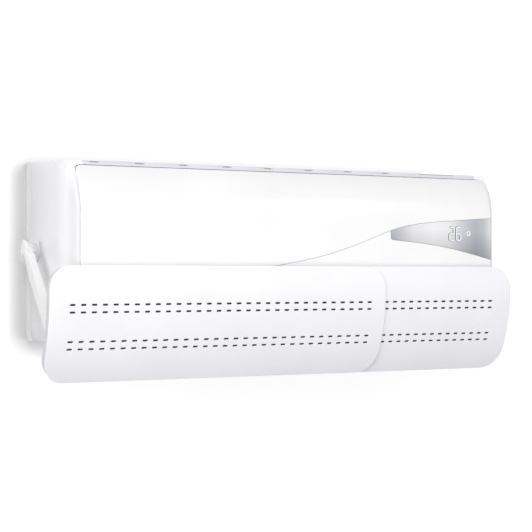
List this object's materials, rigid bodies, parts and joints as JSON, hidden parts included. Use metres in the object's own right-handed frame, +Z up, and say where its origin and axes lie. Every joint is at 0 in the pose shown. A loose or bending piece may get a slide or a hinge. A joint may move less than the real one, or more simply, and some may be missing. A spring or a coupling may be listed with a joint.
{
  "type": "wall-mounted air conditioner with wind deflector",
  "caption": "Wall-mounted split air conditioner indoor unit with a curved front, display lens and a telescopic slotted wind deflector on two side arms.",
  "frame": {"origin": "centre of the wall plate's four bolt holes, on the wall plane", "axes": "+X to the viewer's right along the unit, -Y out of the wall into the room, +Z up"},
  "size_m": [0.8716, 0.2269, 0.35],
  "materials": {
    "casing_white": "fine satin ABS, slightly grey white",
    "panel_white": "polished white ABS",
    "deflector_white": "smooth white ABS sheet",
    "arm_white": "satin white nylon",
    "clear_plastic": "clear polycarbonate",
    "adhesive": "soft acrylic foam",
    "lens": "silver tinted gloss acrylic",
    "dark_plastic": "black moulded plastic",
    "grey_plastic": "grey moulded plastic",
    "mesh": "woven nylon net in a moulded frame",
    "aluminium_fins": "pressed fin stock",
    "copper": "drawn copper tube",
    "brass_nut": "machined brass",
    "zinc_steel": "zinc coated sheet",
    "motor_shell": "coated motor shell",
    "board_green": "printed circuit board",
    "foam_white": "polystyrene drain pan",
    "rubber_black": "moulded rubber"
  },
  "bodies": {
    "unit": {"adhesive_pads": "adhesive", "box_cover": "zinc_steel", "button_switch": "dark_plastic", "cable_gland": "rubber_black", "casing_screws": "zinc_steel", "coil_end_plates": "zinc_steel", "coil_front": "aluminium_fins", "coil_rear": "aluminium_fins", "coil_top": "aluminium_fins", "coil_tubes": "copper", "control_box": "zinc_steel", "display_board": "board_green", "display_lens": "lens", "drain_pan": "foam_white", "fan_bearing": "rubber_black", "fan_motor": "motor_shell", "flare_nuts": "brass_nut", "front_casing": "casing_white", "front_panel": "panel_white", "gas_pipe": "copper", "liquid_pipe": "copper", "louver_motor": "dark_plastic", "lower_panel": "panel_white", "main_board": "board_green", "motor_clamps": "zinc_steel", "pipe_sensor": "dark_plastic", "rear_casing": "casing_white", "stud_pads": "clear_plastic", "terminal_block": "dark_plastic", "top_grille": "casing_white", "vane_motor": "dark_plastic", "wall_plate": "zinc_steel"},
    "fan": {"fan_wheel": "dark_plastic"},
    "louver": {"louver": "casing_white"},
    "vane_link_left": {"vane_link_left": "grey_plastic"},
    "vane_link_right": {"vane_link_right": "grey_plastic"},
    "filter_left": {"filter_left": "mesh"},
    "filter_right": {"filter_right": "mesh"},
    "run_button": {"run_button": "casing_white"},
    "knob_left": {"knob_left": "clear_plastic"},
    "knob_right": {"knob_right": "clear_plastic"},
    "arm_left": {"arm_left": "arm_white"},
    "arm_right": {"arm_right": "arm_white"},
    "panel_left": {"deflector_left": "deflector_white", "rails_left": "deflector_white", "carrier_left": "deflector_white"},
    "panel_right": {"deflector_right": "deflector_white", "rails_right": "deflector_white"},
    "carrier_right": {"carrier_right": "deflector_white"},
    "vane_1": {"vane_1": "grey_plastic"},
    "vane_2": {"vane_2": "grey_plastic"},
    "vane_3": {"vane_3": "grey_plastic"},
    "vane_4": {"vane_4": "grey_plastic"},
    "vane_5": {"vane_5": "grey_plastic"},
    "vane_6": {"vane_6": "grey_plastic"},
    "vane_7": {"vane_7": "grey_plastic"},
    "vane_8": {"vane_8": "grey_plastic"}
  },
  "joints": [
    {"name": "deflector_raise", "type": "hinge", "parent": "unit", "child": "arm_left", "pos_m": [-0.413, -0.045, -0.025], "axis": [-1, 0, 0], "range_deg": [0, 22]},
    {"name": "arm_right_turn", "type": "hinge", "parent": "unit", "child": "arm_right", "pos_m": [0.413, -0.045, -0.025], "axis": [-1, 0, 0], "range_deg": [0, 22]},
    {"name": "panel_tilt", "type": "hinge", "parent": "arm_left", "child": "panel_left", "pos_m": [-0.423, -0.18945, -0.15356], "axis": [1, 0, 0], "range_deg": [0, 15]},
    {"name": "carrier_tilt", "type": "hinge", "parent": "arm_right", "child": "carrier_right", "pos_m": [0.413, -0.18945, -0.15356], "axis": [1, 0, 0], "range_deg": [0, 15]},
    {"name": "panel_slide", "type": "slide", "parent": "panel_left", "child": "panel_right", "axis": [1, 0, 0], "range_m": [0, 0.18]},
    {"name": "fan_spin", "type": "hinge", "parent": "unit", "child": "fan", "pos_m": [0, -0.105, -0.052], "axis": [1, 0, 0], "continuous": true},
    {"name": "louver_turn", "type": "hinge", "parent": "unit", "child": "louver", "pos_m": [-0.055, -0.163, -0.134], "axis": [-1, 0, 0], "range_deg": [0, 80]},
    {"name": "filter_left_draw", "type": "slide", "parent": "unit", "child": "filter_left", "axis": [0, 0.6947, 0.7193], "range_m": [0, 0.07]},
    {"name": "filter_right_draw", "type": "slide", "parent": "unit", "child": "filter_right", "axis": [0, 0.6947, 0.7193], "range_m": [0, 0.07]},
    {"name": "run_button_press", "type": "slide", "parent": "unit", "child": "run_button", "axis": [0, 0, 1], "range_m": [0, 0.0015], "stiffness_N_per_m": 200, "springref_m": -0.001},
    {"name": "knob_left_turn", "type": "hinge", "parent": "unit", "child": "knob_left", "pos_m": [-0.423, -0.045, -0.025], "axis": [-1, 0, 0], "continuous": true},
    {"name": "knob_right_turn", "type": "hinge", "parent": "unit", "child": "knob_right", "pos_m": [0.423, -0.045, -0.025], "axis": [1, 0, 0], "continuous": true},
    {"name": "vane_1_turn", "type": "hinge", "parent": "unit", "child": "vane_1", "pos_m": [-0.286, -0.11142, -0.14316], "axis": [0, -0.6631, 0.7485], "range_deg": [-30, 30]},
    {"name": "vane_2_turn", "type": "hinge", "parent": "unit", "child": "vane_2", "pos_m": [-0.22, -0.11142, -0.14316], "axis": [0, -0.6631, 0.7485], "range_deg": [-30, 30]},
    {"name": "vane_3_turn", "type": "hinge", "parent": "unit", "child": "vane_3", "pos_m": [-0.154, -0.11142, -0.14316], "axis": [0, -0.6631, 0.7485], "range_deg": [-30, 30]},
    {"name": "vane_4_turn", "type": "hinge", "parent": "unit", "child": "vane_4", "pos_m": [-0.088, -0.11142, -0.14316], "axis": [0, -0.6631, 0.7485], "range_deg": [-30, 30]},
    {"name": "vane_5_turn", "type": "hinge", "parent": "unit", "child": "vane_5", "pos_m": [-0.022, -0.11142, -0.14316], "axis": [0, -0.6631, 0.7485], "range_deg": [-30, 30]},
    {"name": "vane_6_turn", "type": "hinge", "parent": "unit", "child": "vane_6", "pos_m": [0.044, -0.11142, -0.14316], "axis": [0, -0.6631, 0.7485], "range_deg": [-30, 30]},
    {"name": "vane_7_turn", "type": "hinge", "parent": "unit", "child": "vane_7", "pos_m": [0.11, -0.11142, -0.14316], "axis": [0, -0.6631, 0.7485], "range_deg": [-30, 30]},
    {"name": "vane_8_turn", "type": "hinge", "parent": "unit", "child": "vane_8", "pos_m": [0.176, -0.11142, -0.14316], "axis": [0, -0.6631, 0.7485], "range_deg": [-30, 30]},
    {"name": "vane_link_left_slide", "type": "slide", "parent": "unit", "child": "vane_link_left", "axis": [1, 0, 0], "range_m": [-0.0083, 0.0083]},
    {"name": "vane_link_right_slide", "type": "slide", "parent": "unit", "child": "vane_link_right", "axis": [1, 0, 0], "range_m": [-0.0083, 0.0083]}
  ],
  "couplings": [
    {"joint": "arm_right_turn", "follows": "deflector_raise", "ratio": 1},
    {"joint": "carrier_tilt", "follows": "panel_tilt", "ratio": 1},
    {"joint": "vane_2_turn", "follows": "vane_1_turn", "ratio": 1},
    {"joint": "vane_3_turn", "follows": "vane_1_turn", "ratio": 1},
    {"joint": "vane_4_turn", "follows": "vane_1_turn", "ratio": 1},
    {"joint": "vane_6_turn", "follows": "vane_5_turn", "ratio": 1},
    {"joint": "vane_7_turn", "follows": "vane_5_turn", "ratio": 1},
    {"joint": "vane_8_turn", "follows": "vane_5_turn", "ratio": 1},
    {"joint": "vane_link_left_slide", "follows": "vane_1_turn", "m_per_rad": 0.0157},
    {"joint": "vane_link_right_slide", "follows": "vane_5_turn", "m_per_rad": 0.0157}
  ]
}
